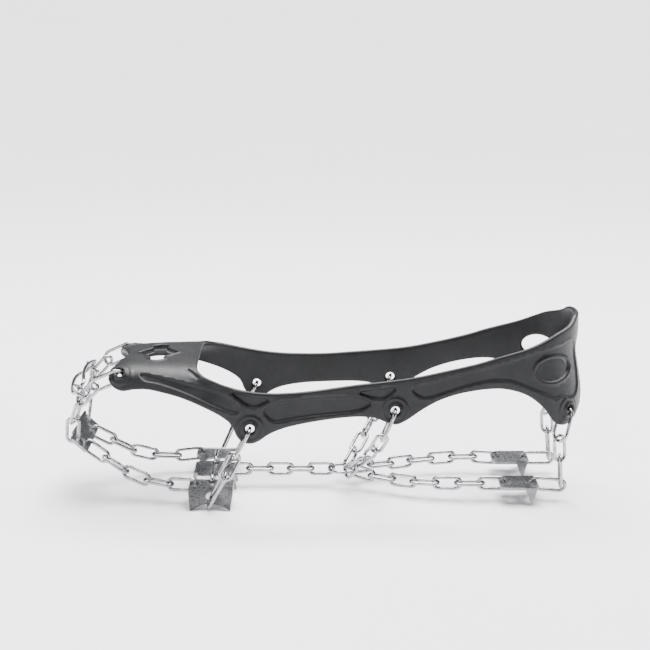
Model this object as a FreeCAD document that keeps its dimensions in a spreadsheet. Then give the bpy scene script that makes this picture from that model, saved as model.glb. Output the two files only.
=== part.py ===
"""Slip-on ice cleat for a boot: a one-piece elastomer harness carries chains and spiked steel plates.

Frame: millimetres, +Z up, +X from toe to heel, the left side of the foot at -Y. The origin is on the
ground, under the middle of the cleat. The cleat has its worn shape and stands on its spike tips.
"""
import FreeCAD, Part
import Sketcher
import math
import os

from FreeCAD import Placement, Rotation, Vector

DIMENSIONS = {
    "wire_diameter": 2.2,
    "short_link_length": 16.2,
    "link_length": 17.6,
    "sole_link_length": 18.2,
    "long_link_length": 21.2,
    "plate_link_length": 29.8,
    "link_width": 7.2,
    "eyelet_link_width": 9.6,
    "bail_ring_radius": 4.8,
    "bail_ring_wire": 2.0,
    "arch_ring_radius": 8.5,
    "sheet_thickness": 1.8,
    "chain_hole_radius": 2.9,
    "ball_plate_length": 27.5,
    "ball_plate_width": 15.0,
    "ball_flange_depth": 14.4,
    "ball_flange_angle": 50.0,
    "ball_plate_height": 11.6,
    "centre_plate_length": 24.0,
    "centre_plate_width": 26.0,
    "heel_plate_length": 24.0,
    "heel_plate_width": 24.0,
    "heel_plate_height": 10.4,
    "spike_angle": 82.0,
    "spike_depth": 10.2,
    "ball_spike_depth": 11.45,
    "front_plate_width": 58.0,
    "front_plate_depth": 13.6,
    "front_spike_depth": 6.5,
    "front_plate_tilt": 43.0,
    "wall_thickness": 3.3,
    "boss_radius": 8.6,
    "boss_height": 0.6,
    "lip_radius": 4.4,
    "lip_height": 1.0,
    "eyelet_radius": 2.8,
}

doc = FreeCAD.newDocument("ice_cleat")
sheet = doc.addObject("Spreadsheet::Sheet", "dimensions")
for row_number, (alias, number) in enumerate(DIMENSIONS.items(), start=1):
    sheet.set(f"A{row_number}", alias)
    sheet.set(f"B{row_number}", str(number))
    sheet.setAlias(f"B{row_number}", alias)
doc.recompute()


def size(alias):
    """The value that the sheet holds for one driving dimension."""
    return float(sheet.get(alias))


# ---------------------------------------------------------------- sketches and bodies


def new_body(label):
    body = doc.addObject("PartDesign::Body", label)
    body.Label = label
    return body


def origin_plane(body, role):
    return next(plane for plane in body.Origin.OriginFeatures if plane.Role == role)


def new_sketch(body, name, role, offset=Placement()):
    """A sketch on one of the body's own origin planes, moved by offset."""
    sketch = body.newObject("Sketcher::SketchObject", name)
    sketch.AttachmentSupport = [(origin_plane(body, role), "")]
    sketch.MapMode = "FlatFace"
    sketch.AttachmentOffset = offset
    return sketch


def hold(sketch, kind, places, number, expression):
    """One dimension of a sketch, bound to the sheet."""
    index = sketch.addConstraint(Sketcher.Constraint(kind, *places, number))
    sketch.setExpression(f"Constraints[{index}]", expression)


def add_polygon(sketch, length_alias, width_alias, corners):
    """A closed outline whose corners are fractions of a length (sketch x) and a width (sketch y)."""
    length, width = size(length_alias), size(width_alias)
    points = [Vector(x * length, y * width, 0) for x, y in corners]
    first = sketch.GeometryCount
    for start, end in zip(points, points[1:] + points[:1]):
        sketch.addGeometry(Part.LineSegment(start, end), False)
    for i, (x, y) in enumerate(corners):
        line = first + i
        sketch.addConstraint(
            Sketcher.Constraint("Coincident", line, 2, first + (i + 1) % len(corners), 1)
        )
        hold(sketch, "DistanceX", (-1, 1, line, 1), x * length, f"dimensions.{length_alias} * {x}")
        hold(sketch, "DistanceY", (-1, 1, line, 1), y * width, f"dimensions.{width_alias} * {y}")


def add_hole(sketch, length_alias, width_alias, centre, radius_alias="chain_hole_radius"):
    """A round hole whose centre is given as fractions of a length and a width."""
    x, y = centre[0] * size(length_alias), centre[1] * size(width_alias)
    circle = sketch.addGeometry(Part.Circle(Vector(x, y, 0), Vector(0, 0, 1), size(radius_alias)), False)
    hold(sketch, "Radius", (circle,), size(radius_alias), f"dimensions.{radius_alias}")
    hold(sketch, "DistanceX", (-1, 1, circle, 3), x, f"dimensions.{length_alias} * {centre[0]}")
    hold(sketch, "DistanceY", (-1, 1, circle, 3), y, f"dimensions.{width_alias} * {centre[1]}")


def add_pad(body, sketch, name, thickness_alias="sheet_thickness"):
    pad = body.newObject("PartDesign::Pad", name)
    pad.Profile = sketch
    pad.setExpression("Length", f"dimensions.{thickness_alias}")
    sketch.Visibility = False
    return pad


# ---------------------------------------------------------------- chain links


def link_body(label, length_alias, width_alias):
    """A welded link: round wire swept round a stadium in the body's XY plane, long axis on X."""
    body = new_body(label)
    straight = size(length_alias) - size(width_alias)
    half = size(width_alias) / 2
    path = new_sketch(body, "centre_line", "XY_Plane")
    top = path.addGeometry(Part.LineSegment(Vector(-straight / 2, half, 0), Vector(straight / 2, half, 0)))
    base = path.addGeometry(Part.LineSegment(Vector(straight / 2, -half, 0), Vector(-straight / 2, -half, 0)))
    circle = Part.Circle(Vector(straight / 2, 0, 0), Vector(0, 0, 1), half)
    right = path.addGeometry(Part.ArcOfCircle(circle, -math.pi / 2, math.pi / 2))
    circle = Part.Circle(Vector(-straight / 2, 0, 0), Vector(0, 0, 1), half)
    left = path.addGeometry(Part.ArcOfCircle(circle, math.pi / 2, 3 * math.pi / 2))
    for line, line_end, arc, arc_end in ((top, 2, right, 2), (base, 1, right, 1), (top, 1, left, 1), (base, 2, left, 2)):
        path.addConstraint(Sketcher.Constraint("Tangent", line, line_end, arc, arc_end))
    path.addConstraint(Sketcher.Constraint("Horizontal", top))
    path.addConstraint(Sketcher.Constraint("Symmetric", left, 3, right, 3, -1, 1))
    hold(path, "Radius", (right,), half, f"dimensions.{width_alias} / 2")
    hold(path, "DistanceX", (left, 3, right, 3), straight, f"dimensions.{length_alias} - dimensions.{width_alias}")
    wire = new_sketch(body, "wire_section", "YZ_Plane")
    section = wire.addGeometry(Part.Circle(Vector(half, 0, 0), Vector(0, 0, 1), size("wire_diameter") / 2))
    wire.addConstraint(Sketcher.Constraint("PointOnObject", section, 3, -1))
    hold(wire, "DistanceX", (-1, 1, section, 3), half, f"dimensions.{width_alias} / 2")
    hold(wire, "Diameter", (section,), size("wire_diameter"), "dimensions.wire_diameter")
    pipe = body.newObject("PartDesign::AdditivePipe", "bent_wire")
    pipe.Profile = wire
    pipe.Spine = path
    path.Visibility = wire.Visibility = False
    return body


def place_link(body, start, end, across):
    """Centres a link between two contact points; across is the way that the link's flat faces."""
    along = (end - start).normalize()
    body.Placement = Placement((start + end) / 2, Rotation(along, Vector(), across, "XZY"))


KINDS = {
    "eyelet": ("long_link_length", "eyelet_link_width"),
    "long": ("long_link_length", "link_width"),
    "plate": ("plate_link_length", "link_width"),
    "sole": ("sole_link_length", "link_width"),
    "link": ("link_length", "link_width"),
    "short": ("short_link_length", "link_width"),
}
# how far past what it holds a taut link's contact point lies
PAST_STRIP = 1.5
PAST_WIRE = 1.25
PAST_EYELET = 1.6


def turned(along, degrees, face=Vector(0, 1, 0)):
    """A direction square to along and as near as can be to face, turned about along."""
    flat = face - along * along.dot(face)
    return Rotation(along, degrees).multVec(flat.normalize())


def mirrored(point):
    return Vector(point.x, -point.y, point.z)


def hooked(held, towards, past):
    """The contact point of a link that comes from towards and hooks round the middle of what it holds."""
    return held + (held - towards).normalize() * past


def chain(name, spans, kinds, flats, groups=None):
    """A chain on the left and its mirror image on the right: each link has a span from contact to contact.

    groups lists how many links in a row share one node; otherwise each link is a node of its own.
    """
    made = {}
    for side in ("left", "right"):
        links = []
        for number, (kind, (start, end), across) in enumerate(zip(kinds, spans, flats), start=1):
            if side == "right":
                start, end, across = mirrored(start), mirrored(end), mirrored(across)
            single = groups is None
            body = link_body(f"{name}_{side}_{number}" if single else f"{name}_{side}_link_{number}", *KINDS[kind])
            place_link(body, start, end, across)
            links.append(body)
        made[side] = links if single else grouped(f"{name}_{side}", links, groups)
    return made["left"] + made["right"]


def grouped(name, links, groups):
    """Neighbouring links gathered into shared nodes."""
    nodes = []
    rest = list(links)
    for number, count in enumerate(groups, start=1):
        node = doc.addObject("Part::Compound", f"{name}_{number}")
        node.Label = f"{name}_{number}"
        node.Links = rest[:count]
        rest = rest[count:]
        nodes.append(node)
    return nodes


def spans_of(points):
    return list(zip(points, points[1:]))


def spread(route, count):
    """Spans for a number of links, evenly spaced along a smooth route."""
    curve = Part.BSplineCurve()
    curve.interpolate(route)
    return spans_of(curve.discretize(Number=count + 1))


def direction(span):
    return (span[1] - span[0]).normalize()


def alternating(spans, first, step=90):
    """The flats of a run of links that turn to and fro, starting at first degrees."""
    return [turned(direction(span), first + step * (i % 2)) for i, span in enumerate(spans)]


def wound(spans, first, last):
    """Flats from first to last, each link about a quarter turn on from the one before it."""
    ways = [direction(span) for span in spans]
    start = turned(ways[-1], 0, first)
    angle = math.degrees(math.atan2(ways[-1].dot(start.cross(last)), start.dot(last)))
    quarters = 90 * (len(spans) - 1)
    angle += 180 * round((quarters - angle) / 180)
    return [turned(way, angle * i / (len(spans) - 1), first) for i, way in enumerate(ways)]


# ---------------------------------------------------------------- the form of the worn harness

BASE_HEIGHT = 38.0
# power of the rounded section: a little boxier over the toes
ROUNDNESS = [(-150, 5.2), (-105, 5.2), (-60, 4.5), (200, 4.5)]
# half width of the foot along its length, from toe to the middle of the heel
PLAN = [
    (-150, 30), (-140, 36), (-126, 42), (-110, 47), (-90, 51.5), (-70, 54.4), (-45, 55.2), (-20, 51.5),
    (10, 45.5), (42, 42.5), (75, 41), (105, 40.8), (128, 38.5), (144, 33), (155, 23), (160.5, 11), (162, 0),
]
# height of the crown over the middle of the foot
CROWN = [(-150, 74), (-140, 82), (-126, 87.2), (-107, 88.4), (-90, 88.6), (-77, 89.6), (-60, 100), (-40, 122),
         (-15, 160), (20, 200), (170, 200)]
# how far the back of the heel leans forward at each height
HEEL_LEAN = [(38, -1.5), (48, -1), (58, -0.3), (66, 0), (80, -2), (93, -4), (103, -3), (116, -3), (200, -3)]
LEAN_STARTS, LEAN_FULL = 100, 160

EYELETS = {"toe": (-125.6, 83.6), "ball": (-45.4, 54.2), "arch": (43.0, 62.0), "heel": (151.1, 59.0)}

# outline of the harness seen from the side
TOP_EDGE = [
    (166, 116.4), (160, 116.3), (156.5, 115.3), (154.5, 113), (151.5, 111), (143, 107.9), (135, 104.2),
    (125.8, 100.5), (107, 95.2), (94, 91.2), (70, 85.5), (53, 82.2), (19, 78.5), (-7, 76), (-30, 75.6),
    (-45.6, 77.2), (-59.4, 80.4), (-68, 83.2), (-75, 85.6), (-79, 88.5), (-79.6, 94),
]
LOW_EDGE = [
    (-134.6, 84), (-133.4, 79.5), (-130, 75.6), (-124.6, 73.9), (-118, 75.4), (-109, 76.2), (-100, 75), (-88, 72.3),
    (-75.3, 67.6), (-62.5, 61.2), (-56.5, 56), (-54, 50), (-50.5, 45.8), (-45.2, 44.4), (-40.2, 45.9), (-34.3, 49.8),
    (-26.6, 52.9), (-15, 55.4), (6, 57.7), (22, 58.3), (31, 57.2), (38, 54.2), (44, 52.8), (50, 55.4), (57.7, 60.7),
    (62, 63.5), (70.3, 67.9), (80, 71.3), (89, 73.4), (100, 74.9), (110, 74.8), (122.7, 71.1), (130.6, 65.8),
    (136.6, 59.8), (141, 53.5), (145.5, 49.6), (151, 48.8), (156, 51.5), (160, 56.5), (166, 59.5),
]
FRONT_EDGE = [(-134.8, 36), (-131.7, 25), (-127.9, 13), (-124.5, 0)]
HEEL_WINDOW = {"centre": (140.3, 85.3), "half_length": 11.2, "half_height": 7.1}
TOE_WINDOW = {"centre": -105.0, "half_length": 12.0, "lobe_radius": 4.7, "lobe_offset": 14.8}


def between(points, at):
    """A smooth curve through (place, value) points, read at one place."""
    at = min(max(at, points[0][0]), points[-1][0])
    i = next(i for i in range(len(points) - 1) if at <= points[i + 1][0])
    slopes = [(b[1] - a[1]) / (b[0] - a[0]) for a, b in zip(points, points[1:])]
    here = slopes[i]
    before = (slopes[i - 1] + here) / 2 if i > 0 else here
    after = (slopes[i + 1] + here) / 2 if i + 1 < len(slopes) else here
    gap = points[i + 1][0] - points[i][0]
    k = (at - points[i][0]) / gap
    return (
        (2 * k**3 - 3 * k**2 + 1) * points[i][1]
        + (k**3 - 2 * k**2 + k) * gap * before
        + (3 * k**2 - 2 * k**3) * points[i + 1][1]
        + (k**3 - k**2) * gap * after
    )


def plan_tables():
    """The plan outline as x and half width against the distance along it; it runs on past the heel's middle."""
    outline = PLAN + [(PLAN[-2][0], -PLAN[-2][1])]
    run, lengths = 0.0, [0.0]
    for (x0, y0), (x1, y1) in zip(outline, outline[1:]):
        run += math.hypot(x1 - x0, y1 - y0)
        lengths.append(run)
    along = [(length, x) for length, (x, _) in zip(lengths, outline)]
    across = [(length, y) for length, (_, y) in zip(lengths, outline)]
    return along, across, lengths[-2]


ALONG, ACROSS, PLAN_LENGTH = plan_tables()


def form_point(run, angle, proud=0.0):
    """A point of the left half of the form: run is along the plan, angle goes from the base to the crown."""
    x, half_width = between(ALONG, run), between(ACROSS, run)
    ahead, behind = min(run + 0.5, PLAN_LENGTH), max(run - 0.5, 0)
    dx = between(ALONG, ahead) - between(ALONG, behind)
    dy = between(ACROSS, ahead) - between(ACROSS, behind)
    if run == PLAN_LENGTH:
        dx = 0
    grow = proud / math.hypot(dx, dy)
    x, half_width = x - dy * grow, half_width + dx * grow
    height = between(CROWN, x) + proud - BASE_HEIGHT
    power = between(ROUNDNESS, x)
    reach = (math.cos(angle) ** power + math.sin(angle) ** power) ** (-1 / power)
    z = BASE_HEIGHT + height * reach * math.sin(angle)
    share = min(max((x - LEAN_STARTS) / (LEAN_FULL - LEAN_STARTS), 0), 1)
    lean = share**2 * (3 - 2 * share) * between(HEEL_LEAN, z)
    return Vector(x + lean, -half_width * reach * math.cos(angle), z)


def form_angle(run, z):
    """The angle at which the form reaches a height."""
    low, high = 0.0, math.pi / 2
    for _ in range(40):
        middle = (low + high) / 2
        low, high = (middle, high) if form_point(run, middle).z < z else (low, middle)
    return low


def wall_place(x, z):
    """The point of the harness's outer face at one place of the side view, and the way the face points."""
    low, high = 0.0, PLAN_LENGTH
    for _ in range(40):
        run = (low + high) / 2
        low, high = (run, high) if form_point(run, form_angle(run, z)).x < x else (low, run)
    angle = form_angle(run, z)
    along = form_point(run + 0.2, angle) - form_point(run - 0.2, angle)
    up = form_point(run, angle + 0.004) - form_point(run, angle - 0.004)
    return form_point(run, angle), along.cross(up).normalize()


def form_solid(proud):
    """The left half of the form as a solid, grown outwards by proud."""
    runs, angles = 44, 22
    rows = [
        [form_point(PLAN_LENGTH * i / runs, math.pi / 2 * j / angles, proud) for j in range(angles + 1)]
        for i in range(runs + 1)
    ]
    for row in rows:
        row[-1].y = 0
    for point in rows[-1]:
        point.y = 0
    skin = Part.BSplineSurface()
    skin.interpolate(rows)
    front, heel = skin.uIso(skin.bounds()[0]), skin.uIso(skin.bounds()[1])
    base, crown = skin.vIso(skin.bounds()[2]), skin.vIso(skin.bounds()[3])
    front_foot = Vector(rows[0][0].x, 0, BASE_HEIGHT)
    heel_foot = rows[-1][0]
    base_line = Part.makeLine(front_foot, heel_foot)
    front_line = Part.makeLine(front_foot, rows[0][-1])
    front_sill = Part.makeLine(front_foot, rows[0][0])
    loops = (
        [base.toShape(), base_line, front_sill],
        [front.toShape(), front_line, front_sill],
        [crown.toShape(), heel.toShape(), base_line, front_line],
    )
    faces = [skin.toShape()] + [Part.Face(Part.Wire(Part.__sortEdges__(loop))) for loop in loops]
    shell = Part.makeShell(faces)
    shell.sewShape()
    solid = Part.makeSolid(Part.Shell(shell.Faces))
    if solid.Volume < 0:
        solid.reverse()
    return solid


def spline(points):
    curve = Part.BSplineCurve()
    curve.interpolate(points)
    return curve.toShape()


def side_prism():
    """The harness's outline seen from the side, run right across the foot."""
    reach, ceiling = 80, 104
    top = [Vector(x, -reach, z) for x, z in TOP_EDGE]
    low = [Vector(x, -reach, z) for x, z in LOW_EDGE]
    roof = [top[-1], Vector(top[-1].x, -reach, ceiling), Vector(low[0].x, -reach, ceiling), low[0]]
    edges = [spline(top), Part.makePolygon(roof), spline(low), Part.makeLine(low[-1], top[0])]
    wire = Part.Wire([edge for piece in edges for edge in piece.Edges])
    return Part.Face(wire).extrude(Vector(0, 2 * reach, 0))


def front_cut():
    """The space ahead of the bridge's hollowed front edge."""
    floor, depth, nose = 78, 30, -160
    points = [Vector(x, y, floor) for x, y in FRONT_EDGE]
    left = [mirrored(point) for point in reversed(points[:-1])]
    arc = points + left
    nose_line = [arc[-1], Vector(nose, arc[-1].y, floor), Vector(nose, arc[0].y, floor), arc[0]]
    edges = spline(arc).Edges + Part.makePolygon(nose_line).Edges
    return Part.Face(Part.Wire(edges)).extrude(Vector(0, 0, depth))


def toe_window():
    """A diamond with a round lobe at each side, cut down through the bridge."""
    floor, depth = 70, 40
    centre = Vector(TOE_WINDOW["centre"], 0, floor)
    length, radius, offset = (TOE_WINDOW[name] for name in ("half_length", "lobe_radius", "lobe_offset"))
    corners = [(-length, 0), (-radius * 0.75, offset - radius * 0.66), (radius * 0.75, offset - radius * 0.66)]
    corners += [(-x, -y) for x, y in corners]
    points = [centre + Vector(x, y, 0) for x, y in corners]
    diamond = Part.Face(Part.makePolygon(points + points[:1])).extrude(Vector(0, 0, depth))
    lobes = [
        Part.makeCylinder(radius, depth, centre + Vector(0, side * offset, 0))
        for side in (-1, 1)
    ]
    return diamond.fuse(lobes)


def heel_window():
    x, z = HEEL_WINDOW["centre"]
    ellipse = Part.Ellipse(Vector(x, -80, z), HEEL_WINDOW["half_length"], HEEL_WINDOW["half_height"])
    ellipse.Axis = Vector(0, -1, 0)
    return Part.Face(Part.Wire(ellipse.toShape())).extrude(Vector(0, 80, 0))


def harness_shape():
    wall, reach = size("wall_thickness"), 12
    outline = side_prism()
    half = form_solid(0).common(outline)
    for grown, radius in ((size("boss_height"), size("boss_radius")), (size("lip_height"), size("lip_radius"))):
        raised = form_solid(grown)
        for x, z in EYELETS.values():
            point, out = wall_place(x, z)
            core = Part.makeCylinder(radius, wall + reach / 2, point - out * wall, out)
            half = half.fuse(raised.common(core))
    half = half.cut([form_solid(-wall), heel_window(), front_cut(), toe_window()])
    for x, z in EYELETS.values():
        point, out = wall_place(x, z)
        half = half.cut(Part.makeCylinder(size("eyelet_radius"), 3 * reach, point - out * reach, out))
    half = max(half.Solids, key=lambda solid: solid.Volume)
    whole = half.fuse(half.mirror(Vector(0, 0, 0), Vector(0, 1, 0)))
    return whole.removeSplitter()


def feature(label, shape):
    piece = doc.addObject("Part::Feature", label)
    piece.Label = label
    piece.Shape = shape
    return piece


# ---------------------------------------------------------------- spiked plates

NO_HOLES = ()


def plate_body(label, length_alias, width_alias, holes):
    """A flat stamping in the body's XY plane, its sheet's middle at the origin."""
    body = new_body(label)
    outline = new_sketch(body, "flat_outline", "XY_Plane")
    outline.setExpression("AttachmentOffset.Base.z", "-dimensions.sheet_thickness / 2")
    corner, chamfer = 0.5, 0.42
    corners = [(chamfer, corner), (corner, chamfer), (corner, -chamfer), (chamfer, -corner)]
    corners += [(-x, -y) for x, y in corners]
    add_polygon(outline, length_alias, width_alias, corners)
    for centre in holes:
        add_hole(outline, length_alias, width_alias, centre)
    add_pad(body, outline, "flat")
    return body


def add_flange(body, name, edge_turn, edge_alias, length_alias, depth_alias, angle_alias, outlines, holes=NO_HOLES):
    """Sheet bent down from one edge of a flat: edge_turn tells which edge, outlines hold the spikes.

    The sketch's x runs along the edge and its y down the bent sheet, as fractions of length and depth.
    """
    turn = Rotation(Vector(0, 0, 1), edge_turn)
    bend = turn.multiply(Rotation(Vector(1, 0, 0), -size(angle_alias)))
    edge = turn.multVec(Vector(0, size(edge_alias) / 2, 0))
    inset = bend.multVec(Vector(0, 0, -size("sheet_thickness") / 2))
    sketch = new_sketch(body, name + "_outline", "XY_Plane", Placement(edge + inset, bend))
    for corners in outlines:
        add_polygon(sketch, length_alias, depth_alias, corners)
    for centre in holes:
        add_hole(sketch, length_alias, depth_alias, centre)
    return add_pad(body, sketch, name)


def spike(middle, half, lean=0.0):
    """A triangular spike: its middle and half its base along the edge, its tip at the full depth."""
    return [(middle - half, -0.06), (middle + half, -0.06), (middle + lean, 1.0)]


LEFT_EDGE, FRONT_SIDE, RIGHT_EDGE, REAR_SIDE = 180, 90, 0, -90

# the outer flange of a ball plate: two spikes with a hollow edge between them, under a chain hole
OUTER_FLANGE = [
    (-0.5, -0.06), (0.5, -0.06), (0.5, 0.3), (0.45, 1.0), (0.22, 0.76), (0.08, 0.7), (-0.08, 0.7),
    (-0.22, 0.76), (-0.45, 1.0), (-0.5, 0.3),
]
OUTER_HOLE = (0.0, 0.352)
STRIP_OF_OUTER_FLANGE = 0.625
# the strip between a chain hole and the edge that it is near
STRIP = 2.2


def edge_hole(length_alias):
    """How far out a chain hole lies along a plate, as a fraction of the plate's length."""
    return round(0.5 - (STRIP + size("chain_hole_radius")) / size(length_alias), 4)


BALL_MIDDLE = Vector(-70.75, -33.1, size("ball_plate_height"))
CENTRE_MIDDLE = Vector(-70.75, 0, size("ball_plate_height"))
HEEL_MIDDLE = Vector(121.1, -26.4, size("heel_plate_height"))
FRONT_MIDDLE = Vector(-153.4, 0, 35.6)
FRONT_HOLES = {"upper": 24.6, "lower": 16.0}


def ball_plate(side):
    """Outwards is the body's -Y on the left and +Y on the right."""
    outer, inner = (LEFT_EDGE, RIGHT_EDGE) if side == "left" else (RIGHT_EDGE, LEFT_EDGE)
    inwards = 1 if side == "left" else -1
    holes = [(-edge_hole("ball_plate_length"), 0.0), (0.0, inwards * edge_hole("ball_plate_width"))]
    body = plate_body(f"ball_plate_{side}", "ball_plate_length", "ball_plate_width", holes)
    add_flange(body, "outer_flange", outer, "ball_plate_width", "ball_plate_length", "ball_flange_depth",
               "ball_flange_angle", [OUTER_FLANGE], [OUTER_HOLE])
    add_flange(body, "inner_spikes", inner, "ball_plate_width", "ball_plate_length", "ball_spike_depth",
               "spike_angle", [spike(-0.34, 0.12), spike(0.34, 0.12)])
    body.Placement.Base = BALL_MIDDLE if side == "left" else mirrored(BALL_MIDDLE)
    return body


def centre_plate():
    side_hole = edge_hole("centre_plate_width")
    holes = [(0.0, side_hole), (0.0, -side_hole), (edge_hole("centre_plate_length"), 0.0)]
    body = plate_body("centre_plate", "centre_plate_length", "centre_plate_width", holes)
    for name, edge in (("front_spikes", FRONT_SIDE), ("rear_spikes", REAR_SIDE)):
        add_flange(body, name, edge, "centre_plate_length", "centre_plate_width", "ball_spike_depth",
                   "spike_angle", [spike(-0.32, 0.12), spike(0.32, 0.12)])
    body.Placement.Base = CENTRE_MIDDLE
    return body


def heel_plate(side):
    """Both spikes stand near the rear edge, which takes the heel's weight."""
    far = edge_hole("heel_plate_length")
    body = plate_body(f"heel_plate_{side}", "heel_plate_length", "heel_plate_width", [(far, 0.0), (-far, 0.0)])
    for name, edge, rear in (("left_spike", LEFT_EDGE, -0.3), ("right_spike", RIGHT_EDGE, 0.3)):
        add_flange(body, name, edge, "heel_plate_width", "heel_plate_length", "spike_depth",
                   "spike_angle", [spike(rear, 0.16)])
    body.Placement.Base = HEEL_MIDDLE if side == "left" else mirrored(HEEL_MIDDLE)
    return body


def front_plate():
    """Tilted under the toe spring: the body's X runs across the foot and its Y up the slope."""
    width, depth = size("front_plate_width"), size("front_plate_depth")
    reach = edge_hole("front_plate_depth")
    holes = [(round(side * FRONT_HOLES["upper"] / width, 4), reach) for side in (-1, 1)]
    holes += [(round(side * FRONT_HOLES["lower"] / width, 4), -reach) for side in (-1, 1)]
    body = plate_body("front_plate", "front_plate_width", "front_plate_depth", holes)
    add_flange(body, "front_spikes", RIGHT_EDGE, "front_plate_depth", "front_plate_width", "front_spike_depth",
               "spike_angle", [spike(-0.25, 0.07), spike(0.25, 0.07)])
    body.Placement = Placement(FRONT_MIDDLE, Rotation(Vector(0, -1, 0), up_the_front(), Vector(), "XYZ"))
    return body


def up_the_front():
    tilt = math.radians(size("front_plate_tilt"))
    return Vector(-math.cos(tilt), 0, math.sin(tilt))


def front_strip(row):
    """The middle of the strip outside a chain hole of the front plate, on the left."""
    way = 1 if row == "upper" else -1
    return FRONT_MIDDLE + up_the_front() * way * (size("front_plate_depth") - STRIP) / 2 - Vector(0, FRONT_HOLES[row], 0)


# ---------------------------------------------------------------- chains


def eyelet_start(name, end):
    """Where the first link of a run starts in its eyelet, and the way that its flat faces."""
    point, out = wall_place(*EYELETS[name])
    middle = point - out * (size("wall_thickness") - size("lip_height")) / 2
    along = (end - middle).normalize()
    return middle + along * PAST_EYELET, along.cross(out).normalize()


def toe_run():
    """The spans and flats of the left toe chain."""
    knots = [Vector(-141.2, -33.6, 75.6), Vector(-151.2, -31.9, 65.0), Vector(-156.3, -28.6, 51.6)]
    start, across = eyelet_start("toe", knots[0])
    spans = spans_of([start] + knots + [hooked(front_strip("upper"), knots[-1], PAST_STRIP)])
    return spans, wound(spans, across, turned(direction(spans[-1]), 0))


def toe_chain():
    return chain("toe_chain", toe_run()[0], ["eyelet", "link", "link", "link"], toe_run()[1])


def ball_chain():
    knots = [Vector(-54.6, -54.7, 36.9), Vector(-61.2, -57.2, 24.4)]
    start, across = eyelet_start("ball", knots[0])
    angle = math.radians(size("ball_flange_angle"))
    drop = size("ball_flange_depth") * STRIP_OF_OUTER_FLANGE
    edge = size("ball_plate_width") / 2
    strip = BALL_MIDDLE - Vector(0, edge + drop * math.cos(angle), drop * math.sin(angle))
    spans = spans_of([start] + knots + [hooked(strip, knots[-1], PAST_STRIP)])
    flats = wound(spans, across, turned(direction(spans[-1]), 0, Vector(1, 0, 0)))
    return chain("ball_chain", spans, ["eyelet", "link", "plate"], flats)


ARCH_RING_MIDDLE = Vector(11.2, 0, 11.5)


def on_ring(degrees):
    """A point of the arch ring's wire on the left side of the foot."""
    angle = math.radians(-degrees)
    return ARCH_RING_MIDDLE + Vector(math.cos(angle), math.sin(angle), 0) * size("arch_ring_radius")


def arch_chain():
    knots = [Vector(35.6, -41.8, 44.9), Vector(31.0, -34.5, 34.6)]
    start, across = eyelet_start("arch", knots[0])
    end = hooked(on_ring(70), knots[-1], PAST_WIRE)
    steps = [knots[1] + (end - knots[1]) * share / 3 for share in (1, 2)]
    spans = spans_of([start] + knots + steps + [end])
    flats = wound(spans, across, turned(direction(spans[-1]), 90, Vector(0, 0, 1)))
    return chain("arch_chain", spans, ["eyelet"] + ["short"] * 4, flats)


def heel_chain():
    """Three links hang down the heel; the last one turns forward to the plate, inside the third's bow."""
    knots = [Vector(145.5, -30.1, 41.0), Vector(146.2, -31.0, 28.0), Vector(147.3, -28.6, 10.9)]
    corner = Vector(1.7, 0, -1.35)
    start, across = eyelet_start("heel", knots[0])
    strip = HEEL_MIDDLE + Vector((size("heel_plate_length") - STRIP) / 2, 0, 0)
    spans = spans_of([start] + knots)
    flats = wound(spans, across, turned(direction(spans[-1]), 0, Vector(1, 0, 0)))
    turn = knots[-1] + corner
    spans.append((turn, hooked(strip, turn, PAST_STRIP)))
    flats.append(turned(direction(spans[-1]), 0))
    return chain("heel_chain", spans, ["eyelet", "short", "long", "long"], flats)


def front_chain():
    """From the front plate back to the ball plate, bowed down round the toe spring."""
    strip = BALL_MIDDLE - Vector((size("ball_plate_length") - STRIP) / 2, 0, 0)
    bow = [Vector(-136.5, -19.5, 23.8), Vector(-124, -23, 16.6), Vector(-110.5, -27, 12.2), Vector(-96.8, -30.3, 10.9)]
    route = [hooked(front_strip("lower"), bow[0], PAST_STRIP)] + bow + [hooked(strip, bow[-1], PAST_STRIP)]
    spans = spread(route, 5)
    return chain("front_chain", spans, ["sole"] * 5, alternating(spans, 0), [1, 1, 1, 2])


def cross_links():
    """One link on each side from the centre plate to the ball plate."""
    inner = CENTRE_MIDDLE - Vector(0, (size("centre_plate_width") - STRIP) / 2, 0)
    outer = BALL_MIDDLE + Vector(0, (size("ball_plate_width") - STRIP) / 2, 0)
    span = (hooked(inner, outer, PAST_STRIP), hooked(outer, inner, PAST_STRIP))
    return chain("cross_link", [span], ["long"], [Vector(1, 0, 0)])


def centre_chain():
    """From the centre plate back to the arch ring, on the middle of the foot."""
    strip = CENTRE_MIDDLE + Vector((size("centre_plate_length") - STRIP) / 2, 0, 0)
    ring_wire = on_ring(180)
    ends = [hooked(strip, ring_wire, PAST_STRIP), hooked(ring_wire, strip, PAST_WIRE)]
    spans = spread([ends[0], (strip + ring_wire) / 2, ends[1]], 5)
    links = []
    for number, (span, across) in enumerate(zip(spans, alternating(spans, 0)), start=1):
        body = link_body(f"centre_chain_link_{number}", *KINDS["short"])
        place_link(body, *span, across)
        links.append(body)
    return grouped("centre_chain", links, [2, 2, 1])


def sole_chain():
    """From the arch ring back to the heel plate."""
    strip = HEEL_MIDDLE - Vector((size("heel_plate_length") - STRIP) / 2, 0, 0)
    bow = [Vector(48, -19, 9.8), Vector(76, -26.5, 10.5)]
    route = [hooked(on_ring(22), bow[0], PAST_WIRE)] + bow + [hooked(strip, bow[-1], PAST_STRIP)]
    spans = spread(route, 7)
    return chain("sole_chain", spans, ["link"] * 7, alternating(spans, 0), [3, 4])


# ---------------------------------------------------------------- toe bail and rings


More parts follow.
